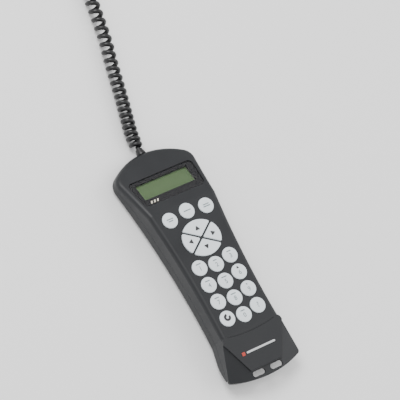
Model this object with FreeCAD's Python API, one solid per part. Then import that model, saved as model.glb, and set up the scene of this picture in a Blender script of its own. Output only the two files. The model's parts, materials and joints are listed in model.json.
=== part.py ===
"""Telescope hand controller with its curly cord, as separate pieces.

Millimetres.  The handset lies on its flat back: +Z leaves the keypad face, +Y runs to the
display and cord end, +X is to the right of someone reading the display.  Pieces are drawn
with the foot end at y = 0, and save() moves them so that the origin is under the middle of
the handset.
"""
import FreeCAD, Part
import math
import os

Vector = FreeCAD.Vector

# ---- driving dimensions -------------------------------------------------------------------
LENGTH = 212.0
THICKNESS = 28.0
WALL = 2.4
PLAY = 0.25                      # gap between a moving key and its hole, and along the seam
FUZZ = 1e-4                      # tolerance of the cuts and joins

# Plan outline
FOOT_CORNER = (35.8, 7.0)        # half width and height of the bottom arc's ends
FOOT_CORNER_R = 2.5
FLARE_TOP = 41.0                 # where the foot flare meets the grip
FLARE_MIDDLE = (31.6, 26.0)
WAIST_Y = 65.0
WAIST_HALF = 28.0
WAIST_R = 781.0
HEAD_ARC_R = 57.0
HEAD_CORNER_R = 11.0

# Side profile
END_WALL_Y = 10.0                # the wall that holds the serial jack, in the foot recess
LIP_T = 2.0                      # the lip past that wall, which has the slots
LIP_TOP_Z = 20.0
BACK_RISE = 0.6                  # how far the back lifts between the flat and the foot end
BELLY_ARC = ((41.0, -0.6), (22.4, 5.0), (6.0, 13.4))     # side view of the back under each wing
JACK_BLOCK_HALF = 20.6           # between the wings the back stays low, round the jack
BACK_FLAT_Y = 22.0
DISPLAY_Y = 156.0                # the keypad face ends and the display face slopes back
HEAD_END_Z = 11.4
FACE_EDGE_R = 4.0
BACK_EDGE_R = 6.0
SEAM_Z = 12.6
SEAM_BEND_Y = 170.0
SEAM_HEAD_Y = 205.0
CORD_Z = 6.4                     # height of the cord's middle where it leaves the head

# Foot tongue
TONGUE_STEP = 1.5
TONGUE_WIDE = (27.5, 32.0)       # half width and station of two points on its edge
TONGUE_NARROW = (15.5, 8.0)
WING_LOW = (36.0, 8.0, 15.2)     # the lowest corner of the flared side face
SLOT_LENGTH = 12.0
SLOT_WIDTH = 4.6
SLOT_X = 8.7
SLOT_Y = 4.8

# Keys
KEY_R = 6.7
KEY_TOP_Z = 29.3
KEY_CROWN = 0.5
FLANGE_GROW = 0.75
FLANGE_Z = (24.1, 25.4)
STEM_R = 3.0
STEM_BOTTOM_Z = 22.9
ROW_PITCH = 15.7
ROW_START_Y = 54.0
ROW_DIP = 2.3
COLUMN_X = 15.2
TOP_ROW = ((-18.0, 146.8), (0.0, 148.9), (18.0, 146.8))
PAD_Y = 123.5
PAD_HALF = (17.6, 15.8)
PAD_GAP = 1.6
PAD_SPLIT_DEG = 35.0             # the gaps' angle from the X axis

# Boards and web
BOARD_TOP_Z = 21.4
BOARD_T = 1.6
BOARD_HALF = 23.0
BOARD_Y = (36.0, 156.5)
WEB_Z = (21.5, 22.6)
WEB_HOLE_R = 3.6

# Display stack: x across, y up the sloping face, z out of it
LENS_Y = (9.5, 35.5)
LENS_HALF = (29.5, 32.0)         # bottom and top half widths
LENS_CORNER_R = 4.0
LENS_RECESS = 0.4
LENS_T = 1.2
GLASS_Y = 24.4
VIEW = (49.0, 14.8)
LCD_BOARD_Y = (6.5, 41.5)
LCD_BOARD_HALF = 30.5
LCD_BOARD_TOP = -8.6

# Cord
WIRE_R = 1.9
COIL_R = 6.2
BOOT_LENGTH = 5.0
BOOT_END = LENGTH + BOOT_LENGTH
BOOT_FLANGE_Y = (204.4, 206.4)   # the flange of the strain relief inside the head
BOOT_NECK_R = 2.8
BOOT_FLANGE_R = 3.6
LEAD_END_Y = 218.5
LEAD_ROUTE = [(0.0, BOOT_FLANGE_Y[0], CORD_Z), (0.0, LEAD_END_Y, CORD_Z)]
COIL_ROUTE = [
    (0.0, LEAD_END_Y, CORD_Z), (0.0, 228.0, CORD_Z), (3.2, 241.0, CORD_Z), (8.2, 259.0, CORD_Z),
    (12.6, 277.0, CORD_Z), (17.0, 296.0, CORD_Z), (22.6, 315.0, CORD_Z), (26.2, 335.0, CORD_Z),
    (29.6, 355.0, CORD_Z), (33.8, 373.0, CORD_Z), (36.0, 388.0, CORD_Z)]
TAIL_ROUTE = [
    (36.0, 388.0, CORD_Z), (37.5, 398.2, CORD_Z), (39.2, 408.4, 4.8), (43.0, 416.4, 2.9), (50.2, 421.2, 2.0),
    (59.0, 421.4, 2.0), (66.6, 416.8, 2.1), (70.4, 408.8, 2.9), (71.0, 399.6, 4.0), (71.2, 390.4, 4.0)]
PLUG_TURN_DEG = 1.2              # how far the plug turns from pointing back along -Y

CASING_SCREWS = [(-16.6, 27.0), (16.6, 27.0), (-22.0, 198.0), (22.0, 198.0)]
BOARD_POSTS = [(-19.0, 40.5), (19.0, 40.5), (-20.0, 134.5), (20.0, 134.5)]
LCD_POSTS = [(-27.0, 8.8), (27.0, 8.8), (-25.0, 39.2), (25.0, 39.2)]
JACK_POSTS = [(-10.6, 24.0), (10.6, 24.0)]

# Serial jack
JACK_HALF = 6.2
JACK_Y = (END_WALL_Y + WALL + 0.1, 29.0)
JACK_BOTTOM_Z = WALL + 0.4
JACK_TOP_Z = 13.0
JACK_MOUTH_HALF = 4.0
JACK_MOUTH_Z = (4.2, 11.4)
JACK_DEPTH = 13.0
JACK_BOARD_T = 1.2

DISPLAY_TILT = math.atan2(THICKNESS - HEAD_END_Z, LENGTH - DISPLAY_Y)
FOOT_TILT = math.atan2(THICKNESS - LIP_TOP_Z, FLARE_TOP)


# ---- helpers --------------------------------------------------------------------------------
def box(x, y, z):
    """A block between the two ends given for each axis."""
    size = (x[1] - x[0], y[1] - y[0], z[1] - z[0])
    return Part.makeBox(*size, Vector(x[0], y[0], z[0]))


def rod(radius, x, y, z):
    """An upright cylinder between the two heights in z."""
    return Part.makeCylinder(radius, z[1] - z[0], Vector(x, y, z[0]))


def plan_solid(points, z):
    """An upright prism of a polygon drawn in plan."""
    wire = Part.makePolygon([Vector(x, y, z[0]) for x, y in points + points[:1]])
    return Part.Face(wire).extrude(Vector(0, 0, z[1] - z[0]))


def side_solid(points, half_width):
    """A prism across the handset of a polygon drawn from the side, as (y, z)."""
    wire = Part.makePolygon([Vector(-half_width, y, z) for y, z in points + points[:1]])
    return Part.Face(wire).extrude(Vector(2 * half_width, 0, 0))


def join(shapes):
    """One shape from several that overlap."""
    return shapes[0].multiFuse(shapes[1:], FUZZ).removeSplitter()


def meet(shape, tool):
    """What two shapes share."""
    return shape.common([tool], FUZZ)


def cut_all(shape, tools):
    """Cut several shapes from one, one after another."""
    for tool in tools:
        shape = shape.cut([tool], FUZZ)
    return shape


def upright(shape, low, high):
    """The vertical edges of a prism between two stations."""
    found = []
    for edge in shape.Edges:
        a = edge.Vertexes[0].Point
        b = edge.Vertexes[-1].Point
        if math.hypot(a.x - b.x, a.y - b.y) < 1e-6 and low < a.y < high:
            found.append(edge)
    return found


def on_display(shape):
    """Move a shape drawn on the display face's own axes to where that face is."""
    placed = shape.copy()
    placed.rotate(Vector(0, 0, 0), Vector(1, 0, 0), -math.degrees(DISPLAY_TILT))
    placed.translate(Vector(0, DISPLAY_Y, THICKNESS))
    return placed


def save(name, shape):
    """Write one piece, moved to the handset's middle."""
    placed = shape.copy()
    placed.translate(Vector(0, -LENGTH / 2, 0))
    if not placed.isValid():
        print("NOT VALID", name)
    placed.exportStep(f"parts/{name}.step")


# ---- casing ---------------------------------------------------------------------------------
def side_x(y):
    """Half width of the grip and head at a station."""
    return WAIST_HALF + (y - WAIST_Y) ** 2 / (2 * WAIST_R)


def head_corner():
    """Where the side curve meets the head arc."""
    y = LENGTH - HEAD_ARC_R / 2
    for _ in range(40):
        y = LENGTH - HEAD_ARC_R + math.sqrt(HEAD_ARC_R ** 2 - side_x(y) ** 2)
    return side_x(y), y


def outline(inset):
    """The plan outline, moved in by inset."""
    corner = head_corner()
    flare = (side_x(FLARE_TOP), FLARE_TOP)
    middle_y = (FLARE_TOP + corner[1]) / 2
    right = [
        (FOOT_CORNER, FLARE_MIDDLE, flare),
        (flare, (side_x(middle_y), middle_y), corner),
        (corner, (0, LENGTH), (-corner[0], corner[1])),
    ]
    left = [[(-x, y) for x, y in reversed(arc)] for arc in reversed(right[:2])]
    foot = [((-FOOT_CORNER[0], FOOT_CORNER[1]), (0, 0), FOOT_CORNER)]
    arcs = []
    for arc in right + left + foot:
        a, b, c = [Vector(x, y, 0) for x, y in arc]
        arcs.append(Part.Arc(a, b, c).toShape())
    wire = Part.Wire(arcs)
    return wire.makeOffset2D(-inset) if inset else wire


def profile(inset):
    """The side profile, moved in by inset, starting behind the recess once it is an inner one."""
    high = THICKNESS + inset
    slope = math.tan(DISPLAY_TILT)
    drop = inset / math.cos(DISPLAY_TILT)
    past = 8.0
    top = [
        (LENGTH + past, HEAD_END_Z - slope * past - drop),
        (DISPLAY_Y + inset * math.tan(DISPLAY_TILT / 2), high - 2 * inset),
        (FLARE_TOP, high - 2 * inset),
    ]
    if not inset:
        foot = [
            (-past, LIP_TOP_Z - past * math.tan(FOOT_TILT)),
            (-past, BACK_RISE * (1 + past / BACK_FLAT_Y)),
            (BACK_FLAT_Y, 0),
        ]
        return side_solid([(BACK_FLAT_Y, -past), (LENGTH + past, -past)] + top + foot, 60)
    start = END_WALL_Y + inset
    z = THICKNESS - inset - (FLARE_TOP - start) * math.tan(FOOT_TILT)
    foot = [(start, z), (start, BACK_RISE / 2 + inset), (BACK_FLAT_Y, inset)]
    return side_solid([(LENGTH + past, inset)] + top + foot, 60)


def flat_edges(shape, z):
    """Edges that lie at one height."""
    return [e for e in shape.Edges if max(abs(e.BoundBox.ZMin - z), abs(e.BoundBox.ZMax - z)) < 1e-6]


def face_rim(shape):
    """Edges between the face and the sides, from the grip up."""
    found = []
    for edge in shape.Edges:
        middle = edge.valueAt((edge.FirstParameter + edge.LastParameter) / 2)
        slopes = []
        for face in shape.ancestorsOfType(edge, Part.Face):
            slopes.append(face.normalAt(*face.Surface.parameter(middle)).z)
        if middle.y > FLARE_TOP and max(slopes) > 0.8 and abs(min(slopes)) < 0.3:
            found.append(edge)
    return found


def envelope(inset):
    """The casing's whole volume, moved in by inset."""
    face = Part.Face(outline(inset))
    face.translate(Vector(0, 0, inset))
    solid = face.extrude(Vector(0, 0, THICKNESS + 10))
    solid = solid.makeFillet(HEAD_CORNER_R - inset, upright(solid, DISPLAY_Y, LENGTH))
    if not inset:
        solid = solid.makeFillet(FOOT_CORNER_R, upright(solid, -1, END_WALL_Y + 2))
    solid = solid.makeFillet(max(BACK_EDGE_R - inset, 1), flat_edges(solid, inset))
    solid = solid.common(profile(inset))
    if not inset:
        solid = solid.makeFillet(FACE_EDGE_R, face_rim(solid))
    return solid


def wing_cutter(side, drop):
    """What is cut away above one flared side face, drop lower than its plane."""
    a = Vector(TONGUE_WIDE[0], TONGUE_WIDE[1], 0)
    b = Vector(TONGUE_NARROW[0], TONGUE_NARROW[1], 0)
    slope = math.tan(FOOT_TILT)
    a.z = THICKNESS - (FLARE_TOP - a.y) * slope - TONGUE_STEP
    b.z = THICKNESS - (FLARE_TOP - b.y) * slope - TONGUE_STEP
    c = Vector(*WING_LOW)
    normal = (b - a).cross(c - a).normalize()
    if normal.z < 0:
        normal = normal * -1
    big = 160.0
    block = Part.makeBox(big, big, big, Vector(-big / 2, -big / 2, 0))
    block.Placement = FreeCAD.Placement(a - normal * drop,
                                        FreeCAD.Rotation(Vector(0, 0, 1), normal))
    half = box((0, big), (-big, FLARE_TOP + 6), (-big, big))
    block = block.common(half)
    if side < 0:
        block = block.mirror(Vector(0, 0, 0), Vector(1, 0, 0))
    return block


def tongue_plan():
    """Plan of the raised tongue on the foot."""
    (wide, y1), (narrow, y0) = TONGUE_WIDE, TONGUE_NARROW
    lean = (wide - narrow) / (y1 - y0)
    top = wide + lean * (FLARE_TOP + 8 - y1)
    points = [(narrow, y0), (top, FLARE_TOP + 8), (-top, FLARE_TOP + 8), (-narrow, y0)]
    return plan_solid(points, (0, THICKNESS + 12))


def foot_cutter(drop):
    """All that is cut from the foot: both flared sides and the strip below the tongue."""
    slope = math.tan(FOOT_TILT)
    low = LIP_TOP_Z - TONGUE_STEP - drop / math.cos(FOOT_TILT)
    strip = side_solid([(-8, low - 8 * slope), (TONGUE_NARROW[1], low + TONGUE_NARROW[1] * slope),
                        (TONGUE_NARROW[1], 60), (-8, 60)], 60)
    return [wing_cutter(1, drop), wing_cutter(-1, drop), strip]


def lip_underside():
    """What is cut from under the lip, past the wall that holds the jack."""
    slope = math.tan(FOOT_TILT)
    low = LIP_TOP_Z - TONGUE_STEP - LIP_T / math.cos(FOOT_TILT)
    roof = [(END_WALL_Y, low + END_WALL_Y * slope), (-8, low - 8 * slope)]
    under = side_solid([(-8, -8), (END_WALL_Y, -8)] + roof, 60)
    return cut_all(under, [wing_cutter(1, LIP_T), wing_cutter(-1, LIP_T)])


def belly_cutters(grow):
    """What is cut from the back under each wing, grown by a wall's thickness."""
    start, middle, end = [Vector(0, y, z + 1.1 * grow) for y, z in BELLY_ARC]
    low = [Vector(0, end.y, -20), Vector(0, start.y, -20)]
    edges = [Part.Arc(start, middle, end).toShape(), Part.makeLine(end, low[0]),
             Part.makeLine(low[0], low[1]), Part.makeLine(low[1], start)]
    face = Part.Face(Part.Wire(edges))
    near = JACK_BLOCK_HALF - grow
    face.translate(Vector(near, 0, 0))
    block = face.extrude(Vector(60 - near, 0, 0))
    return [block, block.mirror(Vector(0, 0, 0), Vector(1, 0, 0))]


def seam_slab(low, high):
    """The layer between two heights above the seam."""
    run = [(-20, SEAM_Z), (SEAM_BEND_Y, SEAM_Z), (SEAM_HEAD_Y, CORD_Z), (LENGTH + 30, CORD_Z)]
    points = [(y, z + low) for y, z in run] + [(y, z + high) for y, z in reversed(run)]
    return side_solid(points, 70)


def seam_z(y):
    """The seam's height at a station."""
    part = (y - SEAM_BEND_Y) / (SEAM_HEAD_Y - SEAM_BEND_Y)
    return SEAM_Z + (CORD_Z - SEAM_Z) * min(max(part, 0), 1)


def casings():
    """The front and rear casings as bare shells with their lap joint."""
    outer = envelope(0)
    raised = foot_cutter(0)
    tongue = tongue_plan()
    outer = cut_all(outer, [cutter.cut(tongue) for cutter in raised[:2]] + raised[2:])
    outer = cut_all(outer, [lip_underside()] + belly_cutters(0))
    inner = cut_all(envelope(WALL), foot_cutter(WALL + 0.4)[:2] + belly_cutters(WALL))
    shell = cut_all(outer, [inner])
    rebate = meet(envelope(WALL / 2), seam_slab(-1, 1.85))
    front = cut_all(meet(shell.copy(), seam_slab(PLAY, 60)), [rebate])
    rear_lip = meet(cut_all(envelope(WALL * 0.56), [inner]), seam_slab(-0.6, 1.6))
    rear = join([meet(shell.copy(), seam_slab(-40, 0)), rear_lip])
    return outer, front, rear


def rounded_plan(points, z, radius):
    """A prism of a polygon in plan, with its upright edges rounded."""
    solid = plan_solid(points, z)
    return solid.makeFillet(radius, upright(solid, -1e3, 1e3))


def rectangle(half_x, y):
    """Plan corners of a rectangle about the middle line."""
    return [(-half_x, y[0]), (half_x, y[0]), (half_x, y[1]), (-half_x, y[1])]


def lens_plan(grow, z):
    """The display window's rounded trapezoid on the display face's own axes."""
    low, high = LENS_HALF
    points = [(-low - grow, LENS_Y[0] - grow), (low + grow, LENS_Y[0] - grow),
              (high + grow, LENS_Y[1] + grow), (-high - grow, LENS_Y[1] + grow)]
    return rounded_plan(points, z, LENS_CORNER_R + grow)


def view_block(grow_x, grow_y, z):
    """A block round the visible area of the display, on the display face's own axes."""
    half_x = VIEW[0] / 2 + grow_x
    half_y = VIEW[1] / 2 + grow_y
    return box((-half_x, half_x), (GLASS_Y - half_y, GLASS_Y + half_y), z)


def slot_cutters():
    """The two hanging slots through the foot lip."""
    cutters = []
    run = SLOT_LENGTH / 2 - SLOT_WIDTH / 2
    tall = (LIP_TOP_Z - TONGUE_STEP - LIP_T - 3, LIP_TOP_Z + 4)
    for side in (-1, 1):
        x = side * SLOT_X
        ends = [rod(SLOT_WIDTH / 2, x - run, SLOT_Y, tall), rod(SLOT_WIDTH / 2, x + run, SLOT_Y, tall)]
        middle = box((x - run, x + run), (SLOT_Y - SLOT_WIDTH / 2, SLOT_Y + SLOT_WIDTH / 2), tall)
        cutters.append(join([middle] + ends))
    return cutters


def crease(middle_y, end_y, half_x, width, depth):
    """An arched groove across the face, to be cut from the front casing."""
    wires = []
    for y in (-width / 2, width / 2):
        ends = [Vector(-half_x, end_y + y, 0), Vector(half_x, end_y + y, 0)]
        wires.append(Part.Arc(ends[0], Vector(0, middle_y + y, 0), ends[1]).toShape())
    low, high = wires
    sides = [Part.makeLine(low.Vertexes[i].Point, high.Vertexes[i].Point) for i in (0, -1)]
    face = Part.Face(Part.Wire(Part.__sortEdges__([low, high] + sides)))
    prism = face.extrude(Vector(0, 0, THICKNESS + 1))
    floor = profile(depth).common(box((-60, 60), (0, DISPLAY_Y), (0, THICKNESS)))
    return prism.cut(floor)


def round_keys():
    """Names and places of the fifteen round keys."""
    names = [["key_undo", "key_0", "key_help"], ["key_7", "key_8", "key_9"],
             ["key_4", "key_5", "key_6"], ["key_1", "key_2", "key_3"]]
    places = dict(zip(["key_align", "key_enter", "key_back"], TOP_ROW))
    for row, row_names in enumerate(names):
        for column, name in enumerate(row_names):
            dip = ROW_DIP if column == 1 else 0
            places[name] = ((column - 1) * COLUMN_X, ROW_START_Y + row * ROW_PITCH - dip)
    return places


def pad_sector(direction_deg, grow, z, rounding):
    """One quarter of the oval pad, its outer curve moved out by grow."""
    half = PAD_SPLIT_DEG if direction_deg % 180 == 0 else 90 - PAD_SPLIT_DEG
    centre = Vector(0, PAD_Y, z[0])
    oval = Part.Ellipse(centre, PAD_HALF[0] + grow, PAD_HALF[1] + grow).toShape()
    disc = Part.Face(Part.Wire([oval])).extrude(Vector(0, 0, z[1] - z[0]))
    gap = PAD_GAP / 2 - max(rounding[1], 0)
    tip = gap / math.sin(math.radians(half))
    angles = [math.radians(direction_deg + turn) for turn in (-half, half)]
    start = math.radians(direction_deg)
    tip_point = (tip * math.cos(start), PAD_Y + tip * math.sin(start))
    far = [(tip_point[0] + 60 * math.cos(a), tip_point[1] + 60 * math.sin(a)) for a in angles]
    sector = disc.common(plan_solid([tip_point] + far, z))
    return sector.makeFillet(rounding[0], upright(sector, -1e3, 1e3))


def pad_names():
    """Names and directions of the four arrow keys."""
    return {"key_right": 0.0, "key_up": 90.0, "key_left": 180.0, "key_down": 270.0}


def round_key(x, y):
    """A crowned round key with its flange and stem."""
    shoulder = KEY_TOP_Z - KEY_CROWN
    cap = rod(KEY_R, x, y, (FLANGE_Z[0], KEY_TOP_Z))
    ball_r = (KEY_R ** 2 + KEY_CROWN ** 2) / (2 * KEY_CROWN)
    ball = Part.makeSphere(ball_r, Vector(x, y, KEY_TOP_Z - ball_r))
    cap = cap.common(ball)
    rim = [e for e in cap.Edges if e.BoundBox.ZMin > shoulder - 0.1 and e.BoundBox.XLength > KEY_R]
    cap = cap.makeFillet(0.6, rim)
    flange = rod(KEY_R + FLANGE_GROW, x, y, FLANGE_Z)
    stem = rod(STEM_R, x, y, (STEM_BOTTOM_Z, FLANGE_Z[1]))
    return join([cap, flange, stem])


def pad_key(direction_deg):
    """One arrow key with its flange and stem."""
    cap = pad_sector(direction_deg, 0, (FLANGE_Z[0], KEY_TOP_Z), (1.0, 0))
    top = [e for e in cap.Edges if e.BoundBox.ZMin > KEY_TOP_Z - 1e-3]
    cap = cap.makeFillet(0.6, top)
    flange = pad_sector(direction_deg, FLANGE_GROW, FLANGE_Z, (0.8, 0))
    x, y = pad_middle(direction_deg)
    stem = rod(STEM_R, x, y, (STEM_BOTTOM_Z, FLANGE_Z[1]))
    return join([cap, flange, stem])


def pad_middle(direction_deg):
    """Where an arrow key's stem stands."""
    along = 0.62
    angle = math.radians(direction_deg)
    return (PAD_HALF[0] * along * math.cos(angle), PAD_Y + PAD_HALF[1] * along * math.sin(angle))


# ---- finished casings -----------------------------------------------------------------------
def screw_boss(x, y, low, high):
    """A screw tower between two heights."""
    return rod(3.3, x, y, (low, high))


def front_casing(outer, bare):
    """Front casing with its towers, key holes, display window, creases and slots."""
    inside = meet(outer.copy(), seam_slab(PLAY + 0.4, 60))
    towers = [screw_boss(x, y, seam_z(y) + 0.5, 40) for x, y in CASING_SCREWS]
    towers += [rod(2.3, x, y, (BOARD_TOP_Z, 40)) for x, y in BOARD_POSTS]
    shape = join([bare] + [meet(tower, inside) for tower in towers])
    posts = [on_display(rod(2.2, x, y, (LCD_BOARD_TOP, -WALL + 0.4))) for x, y in LCD_POSTS]
    shape = join([shape] + posts)
    holes = [rod(KEY_R + PLAY, x, y, (FLANGE_Z[1], 40)) for x, y in round_keys().values()]
    for direction in pad_names().values():
        holes.append(pad_sector(direction, PLAY, (FLANGE_Z[1] - 1, 40), (1.0, PLAY)))
    shape = cut_all(shape, holes)
    pocket = lens_plan(0.15, (-LENS_RECESS - LENS_T, 10))
    window = view_block(1.6, 1.6, (-8, 10))
    shape = cut_all(shape, [on_display(pocket), on_display(window)])
    shape = cut_all(shape, slot_cutters())
    shape = cut_all(shape, [crease(41.9, 45.8, 22.6, 0.7, 0.35), crease(37.6, 39.6, 22.6, 0.7, 0.45)])
    pilots = [rod(1.45, x, y, (0, 20.5 if y < 100 else 11.6)) for x, y in CASING_SCREWS]
    pilots += [rod(0.95, x, y, (0, BOARD_TOP_Z + 3.4)) for x, y in BOARD_POSTS]
    pilots += [on_display(rod(0.95, x, y, (-12, -4.0))) for x, y in LCD_POSTS]
    shape = cut_all(shape, pilots)
    return cut_all(shape, [boot_bore()])


def boot_bore():
    """The groove of the head wall that holds the strain relief."""
    return Part.makeCylinder(BOOT_NECK_R + 0.1, 14, Vector(0, LENGTH - 8, CORD_Z), Vector(0, 1, 0))


def rear_casing(outer, bare):
    """Rear casing with its screw towers, jack opening, posts and the cord's exit."""
    inside = meet(outer.copy(), seam_slab(-40, -0.1))
    towers = [screw_boss(x, y, WALL - 1, seam_z(y) - 0.1) for x, y in CASING_SCREWS]
    towers += [rod(2.0, x, y, (WALL - 1, JACK_TOP_Z)) for x, y in JACK_POSTS]
    shape = join([bare] + [meet(tower, inside) for tower in towers])
    cutters = [rod(3.1, x, y, (-1, 3.4)) for x, y in CASING_SCREWS]
    cutters += [rod(1.6, x, y, (-1, 30)) for x, y in CASING_SCREWS]
    cutters += [rod(0.95, x, y, (JACK_TOP_Z - 5, JACK_TOP_Z + 1)) for x, y in JACK_POSTS]
    mouth_x = JACK_MOUTH_HALF + 0.6
    mouth_z = (JACK_MOUTH_Z[0] - 0.5, JACK_MOUTH_Z[1] + 0.5)
    cutters.append(box((-mouth_x, mouth_x), (END_WALL_Y - 1, END_WALL_Y + WALL + 1), mouth_z))
    return cut_all(shape, cutters + [boot_bore()])


# ---- serial jack ----------------------------------------------------------------------------
def serial_jack():
    """Modular socket body."""
    body = box((-JACK_HALF, JACK_HALF), JACK_Y, (JACK_BOTTOM_Z, JACK_TOP_Z - 0.05))
    mouth = box((-JACK_MOUTH_HALF, JACK_MOUTH_HALF), (0, JACK_Y[0] + JACK_DEPTH), JACK_MOUTH_Z)
    latch = box((-1.6, 1.6), (0, JACK_Y[0] + 7), (JACK_MOUTH_Z[0] - 0.8, JACK_MOUTH_Z[0] + 1))
    return cut_all(body, [mouth, latch])


def serial_contacts():
    """Four spring wires under the roof of the socket."""
    wires = []
    for i in range(4):
        x = (i - 1.5) * 1.27
        y = (JACK_Y[0] + 2.0, JACK_Y[0] + JACK_DEPTH - 1)
        wires.append(box((x - 0.2, x + 0.2), y, (JACK_MOUTH_Z[1] - 0.9, JACK_MOUTH_Z[1] - 0.5)))
    return Part.makeCompound(wires)


# ---- boards, web and display ----------------------------------------------------------------
def main_board():
    """The key board."""
    low, high = BOARD_TOP_Z - BOARD_T, BOARD_TOP_Z
    board = rounded_plan(rectangle(BOARD_HALF, BOARD_Y), (low, high), 2.0)
    holes = [rod(1.1, x, y, (low - 1, high + 1)) for x, y in BOARD_POSTS]
    return cut_all(board, holes)


def keypad_web():
    """The silicone sheet on the board, with a hole over each switch."""
    web = rounded_plan(rectangle(22.6, (45.0, 155.8)), WEB_Z, 3.0)
    holes = [rod(WEB_HOLE_R, x, y, (0, 40)) for x, y in round_keys().values()]
    holes += [rod(WEB_HOLE_R, *pad_middle(d), (0, 40)) for d in pad_names().values()]
    holes += [rod(2.9, x, y, (0, 40)) for x, y in BOARD_POSTS]
    return cut_all(web, holes)


def board_chips():
    """The larger parts on the underside of the board."""
    under = BOARD_TOP_Z - BOARD_T
    blocks = [(0, 100, 7, 7, 1.6), (-12, 122, 5, 4, 1.8), (12, 120, 3.4, 5.5, 1.6), (-13, 84, 3, 5, 1.5),
              (12, 84, 2.5, 2.5, 1.2), (14, 60, 4, 6, 3.2)]
    parts = []
    for x, y, half_x, half_y, tall in blocks:
        parts.append(box((x - half_x, x + half_x), (y - half_y, y + half_y), (under - tall, under)))
    parts.append(rod(4.0, -13, 62, (under - 7, under)))
    return Part.makeCompound(parts)


def lcd_board():
    """The display's own board."""
    z = (LCD_BOARD_TOP - BOARD_T, LCD_BOARD_TOP)
    board = rounded_plan(rectangle(LCD_BOARD_HALF, LCD_BOARD_Y), z, 1.5)
    corner = [rod(1.1, x, y, (z[0] - 1, z[1] + 1)) for x, y in LCD_POSTS]
    return on_display(cut_all(board, corner))


def display_parts():
    """The window, gasket, frame, glass, light guide and lamps, front to back."""
    lens_top = -LENS_RECESS
    gasket = view_block(3.4, 3.2, (-3.0, -WALL - 0.02)).cut(view_block(1.6, 1.6, (-4, 0)))
    frame = view_block(5.4, 4.6, (LCD_BOARD_TOP, -3.02))
    frame = frame.cut(view_block(0.6, 0.6, (-9, 0))).cut(view_block(4.6, 3.9, (-9, -3.5)))
    glass = view_block(4.4, 3.7, (-5.7, -3.55))
    guide = view_block(4.4, 3.0, (LCD_BOARD_TOP + 0.05, -5.75))
    lamps = []
    for side in (-1, 1):
        for x in (-14, -5, 5, 14):
            y = GLASS_Y + side * 10.85
            lamps.append(box((x - 1.2, x + 1.2), (y - 0.35, y + 0.35), (LCD_BOARD_TOP, LCD_BOARD_TOP + 1.4)))
    return {
        "display_lens": on_display(lens_plan(0, (lens_top - LENS_T, lens_top))),
        "display_gasket": on_display(gasket),
        "lcd_frame": on_display(frame),
        "lcd_glass": on_display(glass),
        "backlight_guide": on_display(guide),
        "backlight_leds": on_display(Part.makeCompound(lamps)),
    }


def screw(x, y, z, head_r, head_t, shank_r, length):
    """A pan head screw that points up from z, its head below."""
    head = rod(head_r, x, y, (z, z + head_t))
    head = head.makeFillet(head_t * 0.45, flat_edges(head, z))
    slot = box((x - head_r * 0.6, x + head_r * 0.6), (y - 0.35, y + 0.35), (z - 1, z + head_t * 0.45))
    cross = box((x - 0.35, x + 0.35), (y - head_r * 0.6, y + head_r * 0.6), (z - 1, z + head_t * 0.45))
    shank = rod(shank_r, x, y, (z + head_t / 2, z + head_t + length))
    return join([head, shank]).cut(slot).cut(cross)


def board_screws():
    """The small screws of the key board, the display board and the jack board."""
    under = BOARD_TOP_Z - BOARD_T
    tall = 1.3
    screws = [screw(x, y, under - tall - 0.02, 1.9, tall, 0.9, 4.4) for x, y in BOARD_POSTS]
    back = LCD_BOARD_TOP - BOARD_T - tall - 0.02
    screws += [on_display(screw(x, y, back, 1.9, tall, 0.9, 4.4)) for x, y in LCD_POSTS]
    for x, y in JACK_POSTS:
        turned = screw(x, y, 0, 1.9, tall, 0.9, 4.4)
        turned.rotate(Vector(x, y, 0), Vector(1, 0, 0), 180)
        turned.translate(Vector(0, 0, JACK_TOP_Z + JACK_BOARD_T + tall + 0.02))
        screws.append(turned)
    return Part.makeCompound(screws)


# ---- cord -----------------------------------------------------------------------------------
def tube(name, points, radius, bend=0.45):
    """A round tube: straight runs joined by arcs as large as their runs allow."""
    points = [Vector(*p) for p in points]
    edges = []
    here = points[0]
    radii = []
    for before, corner, after in zip(points, points[1:], points[2:]):
        a = before - corner
        b = after - corner
        cut = bend * min(a.Length, b.Length)
        turn = math.pi - a.getAngle(b)
        radii.append(round(cut / math.tan(turn / 2), 1))
        a.normalize()
        b.normalize()
        start = corner + a * cut
        end = corner + b * cut
        bow = (a + b).normalize() * (radii[-1] * (1 / math.cos(turn / 2) - 1))
        edges.append(Part.LineSegment(here, start).toShape())
        edges.append(Part.Arc(start, corner + bow, end).toShape())
        here = end
    edges.append(Part.LineSegment(here, points[-1]).toShape())
    path = Part.Wire(edges)
    first = points[1] - points[0]
    ring = Part.Wire([Part.makeCircle(radius, points[0], first)])
    solid = path.makePipeShell([ring], True, False)
    full = math.pi * radius ** 2 * path.Length
    print(f"{name}: path {path.Length:.1f} mm, volume/full {solid.Volume / full:.4f}, radii {radii}")
    return solid



def boot():
    """The moulded strain relief that the head wall clamps, tapering out along the cord."""
    bore = WIRE_R + 0.02
    start, end = BOOT_FLANGE_Y
    points = [(bore, start), (BOOT_FLANGE_R, start), (BOOT_FLANGE_R, end), (BOOT_NECK_R, end),
              (BOOT_NECK_R, LENGTH + 0.1), (4.2, LENGTH + 0.1), (4.1, LENGTH + 1.2), (2.9, BOOT_END),
              (bore, BOOT_END)]
    wire = Part.makePolygon([Vector(r, y, 0) for r, y in points + points[:1]])
    solid = Part.Face(wire).revolve(Vector(0, 0, 0), Vector(0, 1, 0), 360)
    solid.translate(Vector(0, 0, CORD_Z))
    return solid


def on_plug(shape):
    """Move a shape drawn round the cord's end, pointing along -Y, to where the plug lies."""
    placed = shape.copy()
    placed.rotate(Vector(0, 0, 0), Vector(0, 0, 1), PLUG_TURN_DEG)
    placed.translate(Vector(*TAIL_ROUTE[-1]))
    return placed


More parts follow.
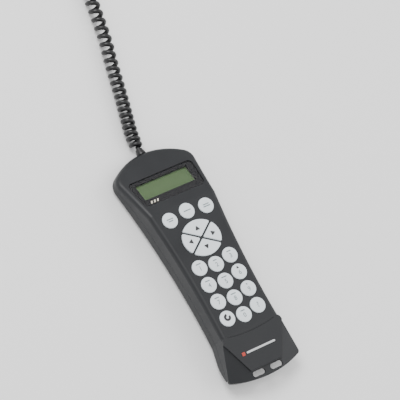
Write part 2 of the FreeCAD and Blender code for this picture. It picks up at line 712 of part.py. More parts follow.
def plug_parts():
    """Modular plug: clear body, gold blades and the sprung latch."""
    body = box((-4.8, 4.8), (-17.0, 0.0), (-3.6, 3.0))
    body = body.makeFillet(0.5, [e for e in body.Edges if e.BoundBox.YLength > 10])
    grooves = [box((x - 0.25, x + 0.25), (-18, -11.5), (-4, -2.6)) for x in blade_places()]
    seat = box((-3.4, 3.4), (-18, -15.2), (2.2, 4))
    body = cut_all(body, grooves + [seat])
    blades = [box((x - 0.2, x + 0.2), (-16.6, -12.0), (-3.3, -2.65)) for x in blade_places()]
    latch = side_solid([(-16.6, 2.55), (-15.4, 2.55), (-15.4, 3.3), (-2.0, 5.6), (-2.0, 6.8), (-3.2, 6.8),
                        (-4.0, 6.3), (-16.6, 3.5)], 2.6)
    root = Part.makeCylinder(0.6, 5.2, Vector(-2.6, -16.0, 3.0), Vector(1, 0, 0))
    latch = join([latch, root])
    return {
        "plug_body": on_plug(body),
        "plug_contacts": on_plug(Part.makeCompound(blades)),
        "plug_latch": on_plug(latch),
    }


def blade_places():
    """Across the plug, the places of its six blades."""
    return [(i - 2.5) * 1.1 for i in range(6)]


def inner_cord_parts():
    """The cord inside the head: its clamp, its leads and their connector on the board."""
    clamp = box((-7.0, 7.0), (200.2, 203.2), (WALL + 0.05, 9.6))
    clamp = clamp.cut(Part.makeCylinder(1.5, 10, Vector(0, 195, CORD_Z), Vector(0, 1, 0)))
    under = BOARD_TOP_Z - BOARD_T
    connector = box((6.0, 16.0), (141.0, 147.0), (under - 4.2, under))
    leads = tube("inner_leads", [(0, BOOT_FLANGE_Y[0] - 0.1, CORD_Z), (0, 199.5, CORD_Z), (2.6, 189.5, 3.8),
                                 (8.0, 174.0, 3.8), (11.0, 161.0, 5.0), (11.4, 150.4, 9.2),
                                 (11.2, 144.6, under - 5.2)], 1.2)
    return {"cord_clamp": clamp, "board_connector": connector, "inner_leads": leads}


def ribbons():
    """The flat ribbons from the key board to the display board and the jack board."""
    under = BOARD_TOP_Z - BOARD_T
    display = side_solid([(150, under - 0.05), (150, under - 0.5), (157.4, under - 0.5), (157.4, 14.3),
                          (163.2, 13.9), (163.2, 14.4), (157.9, 14.8), (157.9, under - 0.05)], 10)
    jack_top = JACK_TOP_Z + JACK_BOARD_T
    jack = side_solid([(33.5, jack_top + 0.05), (26, jack_top + 0.05), (26, jack_top + 0.5), (33.0, jack_top + 0.5),
                       (33.0, under - 0.05), (40, under - 0.05), (40, under - 0.5), (33.5, under - 0.5)], 5)
    return {"display_ribbon": display, "jack_ribbon": jack}


def foot_badge():
    """A plain chip and bar set on the tongue."""
    slope = math.tan(FOOT_TILT)
    skin = side_solid([(0, LIP_TOP_Z + 0.01), (FLARE_TOP, THICKNESS + 0.01), (FLARE_TOP, THICKNESS + 0.24),
                       (0, LIP_TOP_Z + 0.24)], 60)
    chip = rounded_plan([(-17.4, 21.2), (-14.4, 21.2), (-14.4, 24.2), (-17.4, 24.2)], (0, 40), 0.7)
    bar = rounded_plan([(-12.8, 21.9), (15.6, 21.9), (15.6, 23.5), (-12.8, 23.5)], (0, 40), 0.7)
    return Part.makeCompound([chip.common(skin), bar.common(skin)])


def build():
    """Write every piece."""
    outer, front, rear = casings()
    save("front_casing", front_casing(outer, front))
    save("rear_casing", rear_casing(outer, rear))
    for name, shape in display_parts().items():
        save(name, shape)
    save("lcd_board", lcd_board())
    save("main_board", main_board())
    save("board_chips", board_chips())
    save("keypad_web", keypad_web())
    for name, place in round_keys().items():
        save(name, round_key(*place))
    for name, direction in pad_names().items():
        save(name, pad_key(direction))
    save("serial_jack", serial_jack())
    save("serial_jack_contacts", serial_contacts())
    jack_board = rounded_plan(rectangle(13.0, (13.5, 34.0)), (JACK_TOP_Z, JACK_TOP_Z + JACK_BOARD_T), 1.0)
    save("jack_board", cut_all(jack_board, [rod(1.1, x, y, (0, 30)) for x, y in JACK_POSTS]))
    long_screws = [screw(x, y, 1.6, 2.8, 1.7, 1.4, 14.5 if y < 100 else 6.0) for x, y in CASING_SCREWS]
    save("casing_screws", Part.makeCompound(long_screws))
    save("board_screws", board_screws())
    for name, shape in {**inner_cord_parts(), **ribbons(), **plug_parts()}.items():
        save(name, shape)
    save("foot_badge", foot_badge())
    save("strain_relief", boot())
    save("cord_lead", tube("cord_lead", LEAD_ROUTE, WIRE_R))
    save("cord_coil", tube("cord_coil", COIL_ROUTE, COIL_R))
    save("cord_tail", tube("cord_tail", TAIL_ROUTE, WIRE_R))


if __name__ == "__main__":
    os.makedirs("parts", exist_ok=True)
    build()
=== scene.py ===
# %% [markdown]
# # A telescope hand controller
# The part arrives from CAD as fixed solids: casings, keys, display, plug and so on.
# This notebook gives them their looks: first the frame, then the camera and the floor,
# then the cord, and after that one step for each piece or finish.

# %% Load the fixed frame
import math
import json
import bpy
import bmesh
from mathutils import Matrix, Vector


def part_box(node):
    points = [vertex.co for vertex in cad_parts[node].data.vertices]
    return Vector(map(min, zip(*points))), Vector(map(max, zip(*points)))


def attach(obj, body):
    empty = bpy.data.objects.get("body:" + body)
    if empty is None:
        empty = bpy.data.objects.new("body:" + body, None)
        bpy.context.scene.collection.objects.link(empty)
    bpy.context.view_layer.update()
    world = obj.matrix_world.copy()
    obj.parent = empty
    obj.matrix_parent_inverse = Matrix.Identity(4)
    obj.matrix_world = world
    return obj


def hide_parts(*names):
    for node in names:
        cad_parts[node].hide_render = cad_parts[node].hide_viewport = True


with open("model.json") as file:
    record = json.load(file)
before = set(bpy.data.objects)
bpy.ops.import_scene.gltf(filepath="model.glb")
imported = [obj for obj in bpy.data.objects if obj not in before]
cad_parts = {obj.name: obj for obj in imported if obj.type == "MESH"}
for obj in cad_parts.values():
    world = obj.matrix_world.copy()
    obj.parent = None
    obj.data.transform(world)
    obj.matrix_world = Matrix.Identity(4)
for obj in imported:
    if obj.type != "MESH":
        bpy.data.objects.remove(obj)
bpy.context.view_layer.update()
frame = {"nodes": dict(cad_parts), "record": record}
MM = 0.001
HANDSET = "handset"
scene = bpy.context.scene

# %% [markdown]
# ## Camera
# The handset is looked down on from its foot end, a little from the left, and turned so
# that its head leans left. A long lens from over two metres away keeps its edges nearly
# parallel. Three directions say it all: what is right, what is up, and what is towards us.

# %% Place the camera
VIEW_RIGHT = Vector((0.8096, -0.4764, 0.3429))
VIEW_UP = Vector((0.3472, 0.8597, 0.3748))
VIEW_DISTANCE = 2.4
VIEW_WIDTH = 0.328
SENSOR = 36.0
looked_at = VIEW_UP.normalized() * 0.0562
to_camera = VIEW_RIGHT.cross(VIEW_UP).normalized()
view_up = to_camera.cross(VIEW_RIGHT).normalized()
view_right = view_up.cross(to_camera).normalized()
turn = Matrix((view_right, view_up, to_camera)).transposed().to_4x4()
camera_data = bpy.data.cameras.new("camera")
camera_data.sensor_width = SENSOR
camera_data.lens = SENSOR * VIEW_DISTANCE / VIEW_WIDTH
camera_data.clip_end = 20.0
camera = bpy.data.objects.new("camera", camera_data)
camera.matrix_world = Matrix.Translation(looked_at + to_camera * VIEW_DISTANCE) @ turn
scene.collection.objects.link(camera)
scene.camera = camera
print("lens", round(camera_data.lens), "mm, camera at", [round(c, 2) for c in camera.location])

# %% [markdown]
# ## Small helpers
# A new object is linked to the scene with its place in its mesh. Points from a curve are
# read by turning the curve into a mesh, which gives them in order along it.


# %% Helpers for meshes and curves
def add_object(name, data):
    piece = bpy.data.objects.new(name, data)
    scene.collection.objects.link(piece)
    return piece


def curve_through(name, points, bevel=0.0, resolution=12):
    """A smooth NURBS curve with the route's points as its control points."""
    data = bpy.data.curves.new(name, "CURVE")
    data.dimensions = "3D"
    data.resolution_u = resolution
    data.bevel_depth = bevel
    data.bevel_resolution = 5
    data.use_fill_caps = bevel > 0
    spline = data.splines.new("NURBS")
    spline.points.add(len(points) - 1)
    for point, place in zip(spline.points, points):
        point.co = (*place, 1.0)
    spline.order_u = 3
    spline.use_endpoint_u = True
    return add_object(name, data)


def points_along(curve):
    """The curve's points in order, read from its mesh."""
    graph = bpy.context.evaluated_depsgraph_get()
    mesh = bpy.data.meshes.new_from_object(curve.evaluated_get(graph))
    points = [v.co.copy() for v in mesh.vertices]
    bpy.data.meshes.remove(mesh)
    return points


def path_length(points):
    return sum((b - a).length for a, b in zip(points, points[1:]))


# %% [markdown]
# ## The curly cord
# The real cord is a thin black cable wound into a springy coil, straight for a few
# millimetres at the handset and for a hand's width at the plug. It could be a texture on a
# fat tube, but the gaps between the turns show the floor, so the helix is made for real.
# The route is one smooth line. The helix turns round it, tight where it was never pulled
# and wider where it was, and its radius shrinks to nothing where the coil ends.

# %% The cord's route
HALF_LENGTH = 106.0
WIRE_R = 1.9
COIL_R = 6.2
CORD_Z = 6.4
LEAD_END_Y = 218.5
LEAD_ROUTE = [(0.0, 204.4, CORD_Z), (0.0, LEAD_END_Y, CORD_Z)]
COIL_ROUTE = [
    (0.0, 228.0, CORD_Z), (3.2, 241.0, CORD_Z), (8.2, 259.0, CORD_Z), (12.6, 277.0, CORD_Z),
    (17.0, 296.0, CORD_Z), (22.6, 315.0, CORD_Z), (26.2, 335.0, CORD_Z), (29.6, 355.0, CORD_Z),
    (33.8, 373.0, CORD_Z), (36.0, 388.0, CORD_Z)]
TAIL_ROUTE = [
    (37.5, 398.2, CORD_Z), (39.2, 408.4, 4.8), (43.0, 416.4, 2.9), (50.2, 421.2, 2.0),
    (59.0, 421.4, 2.0), (66.6, 416.8, 2.1), (70.4, 408.8, 2.9), (71.0, 399.6, 4.0),
    (71.2, 390.4, 4.0)]


def in_frame(points):
    """Route points, drawn from the foot end in millimetres, to metres in the frame."""
    return [Vector((x, y - HALF_LENGTH, z)) * MM for x, y, z in points]


route_curve = curve_through("route", in_frame(LEAD_ROUTE + COIL_ROUTE + TAIL_ROUTE))
route = points_along(route_curve)
bpy.data.objects.remove(route_curve)
print("route points", len(route), "length", round(path_length(route), 4), "m")

# %% Wind the helix round the route
TIGHT_PITCH = 5.2 * MM
LOOSE_PITCH = 7.8 * MM
STEPS_PER_TURN = 16
FADE = 2.6 * MM                 # the run over which the turns grow to their full width
BARE = 2.5 * MM                 # left free of points before and after the turns
coil_start = (LEAD_END_Y - HALF_LENGTH) * MM
coil_end = (COIL_ROUTE[-1][1] - HALF_LENGTH) * MM
helix_r = (COIL_R - WIRE_R) * MM


def smooth(value):
    value = min(max(value, 0.0), 1.0)
    return value * value * (3.0 - 2.0 * value)


def pitch_at(share):
    """The coil is close at its ends and pulled open past its middle."""
    opened = smooth((share - 0.05) / 0.6) * smooth((1.0 - share) / 0.2)
    return TIGHT_PITCH + (LOOSE_PITCH - TIGHT_PITCH) * opened


def wind(points):
    """Points of the cable: straight lead, helix and straight tail, in one list."""
    lengths = [0.0]
    for a, b in zip(points, points[1:]):
        lengths.append(lengths[-1] + (b - a).length)
    enter = next(s for s, p in zip(lengths, points) if p.y >= coil_start)
    leave = next(s for s, p in zip(lengths, points) if p.y >= coil_end)
    wound = [p.copy() for s, p in zip(lengths, points) if s < enter - BARE]
    along = enter
    angle = -math.pi / 2
    index = 0
    while along < leave:
        while lengths[index + 1] < along:
            index += 1
        share = (along - lengths[index]) / (lengths[index + 1] - lengths[index])
        centre = points[index].lerp(points[index + 1], share)
        forward = (points[index + 1] - points[index]).normalized()
        side = forward.cross(Vector((0.0, 0.0, 1.0))).normalized()
        over = side.cross(forward)
        swell = smooth((along - enter) / FADE) * smooth((leave - along) / FADE)
        outward = side * math.cos(angle) + over * math.sin(angle)
        wound.append(centre + outward * helix_r * swell)
        angle += 2 * math.pi / STEPS_PER_TURN
        along += pitch_at((along - enter) / (leave - enter)) / STEPS_PER_TURN
    wound += [p.copy() for s, p in zip(lengths, points) if s > leave + BARE]
    return wound


def tube_mesh(name, tube):
    """The bevelled curve as a plain mesh, in place of the curve."""
    graph = bpy.context.evaluated_depsgraph_get()
    mesh = bpy.data.meshes.new_from_object(tube.evaluated_get(graph))
    bpy.data.objects.remove(tube)
    mesh.shade_smooth()
    return add_object(name, mesh)


cable = wind(route)
middle_curve = curve_through("cord_middle", cable, resolution=2)
middle_line = points_along(middle_curve)
bpy.data.objects.remove(middle_curve)
cable_length = path_length(middle_line)
cord = tube_mesh("curly_cord", curve_through("cord_tube", cable, bevel=WIRE_R * MM, resolution=2))
print("cable points", len(cable), "length", round(cable_length, 3), "m")

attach(cord, HANDSET)
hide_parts("cord_lead", "cord_coil", "cord_tail")

# %% [markdown]
# ## Materials that share one recipe
# Most finishes here are mouldings, films and platings that differ in colour, gloss and
# grain. A picture of each could be wrapped round it, but a short node tree does more
# with less: one noise shifts the colour and the gloss a little, and a finer noise raises
# the grain as a bump. Object coordinates in metres keep the grain's true size.


# %% A recipe for a moulded or plated finish
def link(tree, a, out, b, inp):
    tree.links.new(a.outputs[out], b.inputs[inp])


def finish(name, color, roughness, cloud=60.0, vary=0.15, grain=1500.0, height=0.02,
           **shader_values):
    """A material whose colour and gloss drift with a cloud and whose surface has a grain."""
    material = bpy.data.materials.new(name)
    material.use_nodes = True
    tree = material.node_tree
    shader = tree.nodes["Principled BSDF"]
    place = tree.nodes.new("ShaderNodeTexCoord")
    clouds = tree.nodes.new("ShaderNodeTexNoise")
    clouds.inputs["Scale"].default_value = cloud
    clouds.inputs["Detail"].default_value = 5.0
    link(tree, place, "Object", clouds, "Vector")
    tint = tree.nodes.new("ShaderNodeMix")
    tint.data_type = "RGBA"
    tint.inputs["A"].default_value = (*[c * (1 - vary) for c in color], 1.0)
    tint.inputs["B"].default_value = (*[min(c * (1 + vary), 1.0) for c in color], 1.0)
    link(tree, clouds, "Fac", tint, "Factor")
    link(tree, tint, "Result", shader, "Base Color")
    gloss = tree.nodes.new("ShaderNodeMapRange")
    gloss.inputs["From Min"].default_value = 0.3
    gloss.inputs["From Max"].default_value = 0.7
    gloss.inputs["To Min"].default_value = roughness * 0.85
    gloss.inputs["To Max"].default_value = min(roughness * 1.15, 1.0)
    link(tree, clouds, "Fac", gloss, "Value")
    link(tree, gloss, "Result", shader, "Roughness")
    grains = tree.nodes.new("ShaderNodeTexNoise")
    grains.inputs["Scale"].default_value = grain
    grains.inputs["Detail"].default_value = 2.0
    link(tree, place, "Object", grains, "Vector")
    bump = tree.nodes.new("ShaderNodeBump")
    bump.inputs["Strength"].default_value = 0.35
    bump.inputs["Distance"].default_value = height * MM
    link(tree, grains, "Fac", bump, "Height")
    link(tree, bump, "Normal", shader, "Normal")
    for key, value in shader_values.items():
        shader.inputs[key.replace("_", " ")].default_value = value
    return material


# %% The plain finishes
looks = {
    "casing": finish("casing_plastic", (0.0125, 0.0135, 0.0155), 0.46, cloud=35.0, vary=0.22,
                     grain=1900.0, height=0.05, Specular_IOR_Level=0.36),
    "soft_black": finish("foam_black", (0.012, 0.012, 0.012), 0.9, grain=900.0, height=0.1),
    "bare_metal": finish("plated_steel", (0.55, 0.55, 0.54), 0.3, grain=600.0, Metallic=1.0),
    "lcd": finish("display_green", (0.118, 0.195, 0.082), 0.35, cloud=25.0, vary=0.06,
                  height=0.005),
    "light_guide": finish("milky_guide", (0.75, 0.78, 0.74), 0.4, grain=500.0),
    "circuit_board": finish("board_green", (0.020, 0.110, 0.045), 0.35, cloud=180.0,
                            vary=0.25),
    "chip_black": finish("chip_moulding", (0.020, 0.020, 0.021), 0.6, grain=2500.0,
                         height=0.06),
    "connector_pale": finish("connector_nylon", (0.62, 0.58, 0.48), 0.5),
    "ribbon": finish("amber_film", (0.45, 0.21, 0.04), 0.25, cloud=120.0),
    "keys": finish("key_silicone", (0.74, 0.80, 0.83), 0.48, cloud=90.0, vary=0.05,
                   grain=1700.0, height=0.03, Subsurface_Weight=0.12,
                   Subsurface_Radius=(0.002, 0.002, 0.002)),
    "gold": finish("gold_plating", (0.80, 0.55, 0.18), 0.22, grain=800.0, Metallic=1.0),
    "screw_black": finish("screw_zinc", (0.045, 0.045, 0.048), 0.35, grain=900.0,
                          Metallic=0.8),
    "cord_black": finish("cord_sheath", (0.007, 0.007, 0.008), 0.36, cloud=140.0,
                         grain=1400.0, height=0.04),
    "plug_clear": finish("clear_plug", (0.78, 0.80, 0.80), 0.12, grain=300.0, height=0.01,
                         Transmission_Weight=0.85, IOR=1.49),
}
print("finishes:", ", ".join(looks))

# %% [markdown]
# ## Two finishes with their own pattern
# The badge on the foot is one CAD node with a small red chip and a pale bar, so its colour
# changes with X: a hard step between the two. The window's printed border is glossy black.

# %% Badge, border and pane
CHIP_EDGE_X = -13.6
badge = finish("badge_inlay", (0.55, 0.56, 0.57), 0.4, height=0.01)
badge_tree = badge.node_tree
badge_place = badge_tree.nodes.new("ShaderNodeTexCoord")
badge_axes = badge_tree.nodes.new("ShaderNodeSeparateXYZ")
badge_step = badge_tree.nodes.new("ShaderNodeMath")
badge_step.operation = "LESS_THAN"
badge_step.inputs[1].default_value = CHIP_EDGE_X * MM
badge_mix = badge_tree.nodes.new("ShaderNodeMix")
badge_mix.data_type = "RGBA"
badge_mix.inputs["B"].default_value = (0.42, 0.035, 0.020, 1.0)
pale = next(n for n in badge_tree.nodes if n.type == "MIX" and n is not badge_mix)
link(badge_tree, badge_place, "Object", badge_axes, "Vector")
badge_tree.links.new(badge_axes.outputs["X"], badge_step.inputs[0])
link(badge_tree, badge_step, "Value", badge_mix, "Factor")
link(badge_tree, pale, "Result", badge_mix, "A")
link(badge_tree, badge_mix, "Result", badge_tree.nodes["Principled BSDF"], "Base Color")
looks["badge"] = badge
looks["window"] = finish("border_print", (0.012, 0.012, 0.014), 0.12, grain=200.0,
                         height=0.003)
pane_look = finish("window_pane", (0.02, 0.02, 0.022), 0.06, grain=150.0, height=0.002,
                   Alpha=0.12)
legend_look = finish("legend_ink", (0.16, 0.20, 0.21), 0.5, grain=900.0, height=0.01)
dark_ink = finish("dark_ink", (0.018, 0.018, 0.020), 0.45, grain=900.0, height=0.01)
cell_look = finish("display_cells", (0.107, 0.177, 0.073), 0.35, height=0.003)
print("badge, border and pane ready")

# %% Give every CAD piece the finish of its slot
slot_of = {part["node"]: part["material_slot"] for part in frame["record"]["subparts"]}
for name, node in frame["nodes"].items():
    for slot in node.material_slots:
        slot.material = looks[slot_of[name]]
    if not node.material_slots:
        node.data.materials.append(looks[slot_of[name]])
cord.data.materials.append(looks["cord_black"])
print("dressed", len(frame["nodes"]), "pieces")

# %% [markdown]
# ## Flat shapes with a little thickness
# Printed marks, borders and panes are flat outlines with a thin edge. A filled 2D curve
# makes each one, holes included, and turning it into a mesh closes it on every side. Then
# its points are moved to the place where it lies.


# %% A closed thin plate from outlines
WELD = 0.002 * MM
CUTS_EACH_WAY = 5


def plate(name, outlines, thickness, look, body, place, cut_every=None):
    """A plate between closed outlines in millimetres; place moves each point in metres."""
    data = bpy.data.curves.new(name, "CURVE")
    data.dimensions = "2D"
    data.fill_mode = "BOTH"
    data.extrude = thickness * MM / 2
    for outline in outlines:
        spline = data.splines.new("POLY")
        spline.points.add(len(outline) - 1)
        for point, (x, y) in zip(spline.points, outline):
            point.co = (x * MM, y * MM, 0.0, 1.0)
        spline.use_cyclic_u = True
    return finish_plate(name, data, look, body, place, cut_every)


def finish_plate(name, data, look, body, place, cut_every=None):
    """Turn a filled curve or a text into a closed mesh; cut_every lets it follow a dome."""
    maker = add_object(name + "_curve", data)
    graph = bpy.context.evaluated_depsgraph_get()
    mesh = bpy.data.meshes.new_from_object(maker.evaluated_get(graph))
    bpy.data.objects.remove(maker)
    work = bmesh.new()
    work.from_mesh(mesh)
    bmesh.ops.remove_doubles(work, verts=work.verts, dist=WELD)
    for step in range(-CUTS_EACH_WAY, CUTS_EACH_WAY + 1) if cut_every else []:
        for across in ((1.0, 0.0, 0.0), (0.0, 1.0, 0.0)):
            everything = work.verts[:] + work.edges[:] + work.faces[:]
            bmesh.ops.bisect_plane(work, geom=everything, plane_no=across,
                                   plane_co=Vector(across) * (step * cut_every * MM))
    for vertex in work.verts:
        vertex.co = place(vertex.co)
    bmesh.ops.recalc_face_normals(work, faces=work.faces)
    work.to_mesh(mesh)
    work.free()
    mesh.name = name
    mesh.materials.clear()
    mesh.materials.append(look)
    piece = add_object(name, mesh)
    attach(piece, body)
    return piece


def rounded(corners, radius, steps=6):
    """A convex outline with each corner turned into an arc."""
    points = []
    count = len(corners)
    for i, corner in enumerate(corners):
        here = Vector(corner)
        before = (Vector(corners[i - 1]) - here).normalized()
        after = (Vector(corners[(i + 1) % count]) - here).normalized()
        half = before.angle(after) / 2
        reach = radius / math.tan(half)
        centre = here + (before + after).normalized() * radius / math.sin(half)
        start = here + before * reach - centre
        sweep = start.angle_signed(here + after * reach - centre)
        for step in range(steps + 1):
            turned = start.copy()
            turned.rotate(Matrix.Rotation(-sweep * step / steps, 2))
            points.append(tuple(centre + turned))
    return points


# %% [markdown]
# ## Display window
# The window is a clear pane over a black printed border, with the green display behind it.
# One dark slab would hide the display, so it is two thin plates: the pane covers all of
# it, and the border below it has a hole where the display shows.

# %% The display face's own axes
THICKNESS = 28.0
DISPLAY_START_Y = 50.0
HEAD_END_Z = 11.4
tilt = math.atan2(THICKNESS - HEAD_END_Z, HALF_LENGTH - DISPLAY_START_Y)
to_display = (Matrix.Translation(Vector((0.0, DISPLAY_START_Y, THICKNESS)) * MM)
              @ Matrix.Rotation(-tilt, 4, "X"))
VIEW_CENTRE_Y = 24.4
VIEW_SIZE = (51.4, 15.8)
print("display slopes by", round(math.degrees(tilt), 1), "degrees")


def on_display(depth):
    """Where a point drawn on the display face goes, sunk by depth in millimetres."""
    return lambda co: to_display @ (co - Vector((0.0, 0.0, depth * MM)))


# %% Pane and border
PANE_T, PANE_DEPTH = 0.5, 0.66
BORDER_T, BORDER_DEPTH = 0.6, 1.26
WINDOW_CORNER_R, VIEW_CORNER_R = 4.0, 0.8
WINDOW_CORNERS = [(-29.5, 9.5), (29.5, 9.5), (32.0, 35.5), (-32.0, 35.5)]
window_outline = rounded(WINDOW_CORNERS, WINDOW_CORNER_R)
half_x = VIEW_SIZE[0] / 2
low_y, high_y = VIEW_CENTRE_Y - VIEW_SIZE[1] / 2, VIEW_CENTRE_Y + VIEW_SIZE[1] / 2
view_outline = rounded([(-half_x, low_y), (half_x, low_y), (half_x, high_y), (-half_x, high_y)],
                       VIEW_CORNER_R)
pane = plate("window_pane", [window_outline], PANE_T, pane_look, HANDSET,
             on_display(PANE_DEPTH))
border = plate("window_border", [window_outline, view_outline], BORDER_T, looks["window"],
               HANDSET, on_display(BORDER_DEPTH))
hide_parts("display_lens")
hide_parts("display_lens")
print("window plates:", len(pane.data.polygons), "and", len(border.data.polygons), "faces")

# %% [markdown]
# ## Character cells of the display
# The green display has two rows of sixteen cells that show faintly even when nothing is
# written. They repeat on a grid, which is what Geometry Nodes are for: a grid of points,
# one small plate on each, then real geometry with its material.

# %% A node tree that lays plates on a grid
cells_tree = bpy.data.node_groups.new("display cell grid", "GeometryNodeTree")
cells_tree.is_modifier = True
for socket_name, kind, default in [
        ("Columns", "NodeSocketInt", 16), ("Rows", "NodeSocketInt", 2),
        ("Pitch X", "NodeSocketFloat", 2.86 * MM), ("Pitch Y", "NodeSocketFloat", 6.1 * MM),
        ("Cell Size", "NodeSocketVector", (2.35 * MM, 5.0 * MM, 0.06 * MM))]:
    made = cells_tree.interface.new_socket(socket_name, in_out="INPUT", socket_type=kind)
    made.default_value = default
cells_tree.interface.new_socket("Geometry", in_out="OUTPUT", socket_type="NodeSocketGeometry")
add = cells_tree.nodes.new
given = add("NodeGroupInput")


def spread(pitch, count):
    """The width of a row: its pitch times one less than its count."""
    less = add("ShaderNodeMath")
    less.operation = "SUBTRACT"
    less.inputs[1].default_value = 1.0
    times = add("ShaderNodeMath")
    times.operation = "MULTIPLY"
    cells_tree.links.new(given.outputs[count], less.inputs[0])
    cells_tree.links.new(given.outputs[pitch], times.inputs[0])
    cells_tree.links.new(less.outputs[0], times.inputs[1])
    return times


grid = add("GeometryNodeMeshGrid")
cells_tree.links.new(spread("Pitch X", "Columns").outputs[0], grid.inputs["Size X"])
cells_tree.links.new(spread("Pitch Y", "Rows").outputs[0], grid.inputs["Size Y"])
link(cells_tree, given, "Columns", grid, "Vertices X")
link(cells_tree, given, "Rows", grid, "Vertices Y")
cell = add("GeometryNodeMeshCube")
link(cells_tree, given, "Cell Size", cell, "Size")
spots = add("GeometryNodeInstanceOnPoints")
link(cells_tree, grid, "Mesh", spots, "Points")
link(cells_tree, cell, "Mesh", spots, "Instance")
real = add("GeometryNodeRealizeInstances")
link(cells_tree, spots, "Instances", real, "Geometry")
paint = add("GeometryNodeSetMaterial")
paint.inputs["Material"].default_value = cell_look
link(cells_tree, real, "Geometry", paint, "Geometry")
cells_out = add("NodeGroupOutput")
link(cells_tree, paint, "Geometry", cells_out, "Geometry")
print("cell tree:", len(cells_tree.nodes), "nodes")


# %% Turn a node tree into a plain mesh
def baked(name, tree, body, slot_name, place, **sizes):
    """Run a tree with its sizes and keep the result as a plain mesh on a body."""
    maker = add_object(name + "_maker", bpy.data.meshes.new(name + "_maker"))
    modifier = maker.modifiers.new("nodes", "NODES")
    modifier.node_group = tree
    sockets = {s.name: s.identifier for s in tree.interface.items_tree if s.in_out == "INPUT"}
    for key, value in sizes.items():
        modifier[sockets[key.replace("_", " ")]] = value
    graph = bpy.context.evaluated_depsgraph_get()
    mesh = bpy.data.meshes.new_from_object(maker.evaluated_get(graph))
    maker.modifiers.remove(modifier)
    bpy.data.objects.remove(maker)
    for vertex in mesh.vertices:
        vertex.co = place(vertex.co)
    piece = add_object(name, mesh)
    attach(piece, body)
    return piece


GLASS_DEPTH = 3.55
CELL_RISE = 0.04
middle_of_view = Vector((0.0, VIEW_CENTRE_Y * MM, 0.0))
on_glass = on_display(GLASS_DEPTH - CELL_RISE)
display_cells = baked("display_cells", cells_tree, HANDSET, "lcd",
                      lambda co: on_glass(co + middle_of_view), Columns=16, Rows=2)
print("display cells:", len(display_cells.data.polygons), "faces")

# %% [markdown]
# ## Printed key marks
# Every key carries a faint mark: a number, a small arrow or a short word. Words are left
# as plain bars here. Numbers are text turned into a thin mesh. Each mark follows its key's
# shallow dome, so it neither floats nor sinks, and it rides on that key.

# %% Where a mark goes on its key
KEY_CROWN = 0.5
KEY_R = 6.7
MARK_LIFT = 0.06
MARK_T = 0.06
MARK_CUT = 0.9                  # a mark is cut this finely, so that it bends with the dome


def on_key(key, shift=(0.0, 0.0), domed=True):
    """Where a point drawn round a key's middle goes on its top."""
    low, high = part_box(key)
    middle = (Vector(low) + Vector(high)) / 2

    def place(co):
        x, y = co.x + shift[0] * MM, co.y + shift[1] * MM
        drop = KEY_CROWN * MM * (x * x + y * y) / (KEY_R * MM) ** 2 if domed else 0.0
        return Vector((middle.x + x, middle.y + y, high[2] - drop + MARK_LIFT * MM + co.z))

    return place


def write(key, text, size, shift=(0.0, 0.0)):
    """A number or sign on a key."""
    data = bpy.data.curves.new("mark", "FONT")
    data.body = text
    data.size = size * MM
    data.align_x = "CENTER"
    data.align_y = "CENTER"
    data.extrude = MARK_T / 2 * MM
    data.resolution_u = 4
    return finish_plate(f"mark_{key}", data, legend_look, key + "_cap",
                        on_key(key, shift), MARK_CUT)


def bar(width, y):
    """The outline of one bar with round ends."""
    half, low, high = width / 2, y - BAR_HALF, y + BAR_HALF
    return rounded([(-half, low), (half, low), (half, high), (-half, high)], BAR_CORNER_R, 3)


def bars(key, rows):
    """Short plain bars that stand for a word; each row is (width, y)."""
    return plate(f"bars_{key}", [bar(width, y) for width, y in rows], MARK_T, legend_look,
                 key + "_cap", on_key(key), MARK_CUT)


# %% Numbers and bars
BAR_HALF = 0.4
BAR_CORNER_R = 0.3
NUMBER_SIZE, NUMBER_Y, WORD_Y = 5.4, -1.0, 3.2
NUMBER_WORDS = {1: 4.6, 2: 3.6, 3: 4.2, 4: 4.6, 5: 5.2, 6: 0.0, 7: 4.4, 8: 5.0, 9: 0.0, 0: 4.0}
for number, word in NUMBER_WORDS.items():
    key = f"key_{number}"
    write(key, str(number), NUMBER_SIZE, (0.0, NUMBER_Y))
    if word:
        bars(key, [(word, WORD_Y)])
bars("key_align", [(6.4, 0.9), (4.4, -0.9)])
bars("key_enter", [(7.0, 0.0)])
bars("key_back", [(5.6, 0.9), (6.6, -0.9)])
write("key_help", "?", 6.4)
print("numbers and bars written")


# %% Arrows on the scroll keys and the pad
def arrow(name, key, size, direction_deg, shift, look, domed=True):
    """A small triangle that points the way its key drives."""
    cos, sin = math.cos(math.radians(direction_deg)), math.sin(math.radians(direction_deg))
    corners = [(size, 0.0), (-size * 0.6, size * 0.9), (-size * 0.6, -size * 0.9)]
    turned = [(x * cos - y * sin, x * sin + y * cos) for x, y in corners]
    return plate(name, [rounded(turned, size * 0.15, 3)], MARK_T, look, key + "_cap",
                 on_key(key, shift, domed), MARK_CUT)


SCROLL_ARROW_Y = 3.6
arrow("arrow_key_6", "key_6", 1.5, 90.0, (0.0, SCROLL_ARROW_Y), dark_ink)
arrow("arrow_key_9", "key_9", 1.0, -90.0, (0.0, SCROLL_ARROW_Y), legend_look)
PAD_MIDDLE_Y = 17.5
PAD_ARROW_SIZE, PAD_ARROW_X, PAD_ARROW_Y = 2.5, 10.8, 8.4
for key, direction, x, y in [
        ("key_right", 0.0, PAD_ARROW_X, 0.0), ("key_up", 90.0, 0.0, PAD_ARROW_Y),
        ("key_left", 180.0, -PAD_ARROW_X, 0.0), ("key_down", 270.0, 0.0, -PAD_ARROW_Y)]:
    low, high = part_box(key)
    key_x, key_y = (low[0] + high[0]) / 2 / MM, (low[1] + high[1]) / 2 / MM
    arrow("arrow_" + key, key, PAD_ARROW_SIZE, direction,
          (x - key_x, PAD_MIDDLE_Y + y - key_y), dark_ink, False)
print("arrows placed")

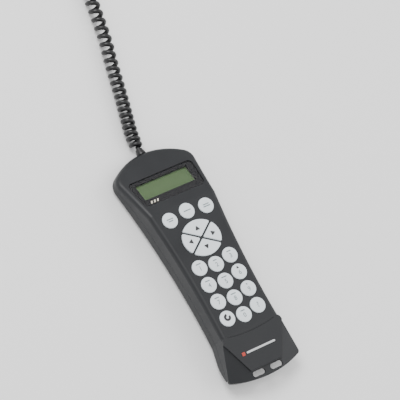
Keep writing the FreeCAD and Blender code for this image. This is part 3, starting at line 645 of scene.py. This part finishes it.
# %% [markdown]
# ## The bold mark on the undo key
# One key stands out with a heavy dark sign. It is drawn as a thick open ring with an arrow
# head, which says "go back" without a word.

# %% A thick open ring
RING_OUT, RING_IN = 3.1, 1.1
RING_STEPS = 20
ring_angles = [math.radians(100 + 280 * i / RING_STEPS) for i in range(RING_STEPS + 1)]
ring = [(RING_OUT * math.cos(a), RING_OUT * math.sin(a)) for a in ring_angles]
ring += [(RING_IN * math.cos(a), RING_IN * math.sin(a)) for a in reversed(ring_angles)]
plate("undo_ring", [ring], MARK_T, dark_ink, "key_undo_cap",
      on_key("key_undo", (0.0, 0.7)), MARK_CUT)
arrow("undo_head", "key_undo", 1.5, 180.0, (-0.6, 2.9), dark_ink)

# %% [markdown]
# ## A small generic mark below the display
# A pale printed device sits at the window's lower left corner. Here it is three short
# slanted strokes of nobody's design.

# %% Three strokes on the window
STROKE_X, STROKE_PITCH = -23.5, 3.0
STROKE_LOW, STROKE_HIGH = 11.2, 13.6
STROKE_T, STROKE_DEPTH = 0.04, 0.37
for i in range(3):
    x = STROKE_X + STROKE_PITCH * i
    stroke = [(x, STROKE_LOW), (x + 1.5, STROKE_LOW),
              (x + 2.6, STROKE_HIGH), (x + 1.1, STROKE_HIGH)]
    plate(f"window_stroke_{i + 1}", [stroke], STROKE_T, looks["connector_pale"], HANDSET,
          on_display(STROKE_DEPTH))
print("window strokes drawn")

# %% [markdown]
# ## Floor and light
# A plain pale floor and large soft lights, as on a product table.

# %% Floor, world and lamps
def plain_material(name, color, roughness):
    material = bpy.data.materials.new(name)
    material.use_nodes = True
    shader = material.node_tree.nodes["Principled BSDF"]
    shader.inputs["Base Color"].default_value = (*color, 1.0)
    shader.inputs["Roughness"].default_value = roughness
    return material


FLOOR_HALF = 3.0
SIGNS = [(-1, -1), (1, -1), (1, 1), (-1, 1)]
floor_corners = [(x * FLOOR_HALF, y * FLOOR_HALF, 0) for x, y in SIGNS]
floor_mesh = bpy.data.meshes.new("floor")
floor_mesh.from_pydata(floor_corners, [], [(0, 1, 2, 3)])
floor = add_object("floor", floor_mesh)
floor_mesh.materials.append(plain_material("floor_paper", (0.93, 0.93, 0.93), 0.9))

world = bpy.data.worlds.new("studio")
scene.world = world
world.use_nodes = True
world.node_tree.nodes["Background"].inputs["Color"].default_value = (1.0, 1.0, 1.0, 1.0)
world.node_tree.nodes["Background"].inputs["Strength"].default_value = 1.0


def soft_light(name, place, size, power):
    data = bpy.data.lights.new(name, "AREA")
    data.shape = "DISK"
    data.size = size
    data.energy = power
    lamp = bpy.data.objects.new(name, data)
    lamp.location = place
    lamp.rotation_euler = (-Vector(place)).to_track_quat("-Z", "Y").to_euler()
    scene.collection.objects.link(lamp)


soft_light("key_light", (-0.5, 0.9, 1.5), 1.0, 26.0)
soft_light("fill_light", (1.4, -0.3, 1.2), 1.4, 12.0)
print("lights placed")

# %% Last lines
bpy.context.view_layer.update()
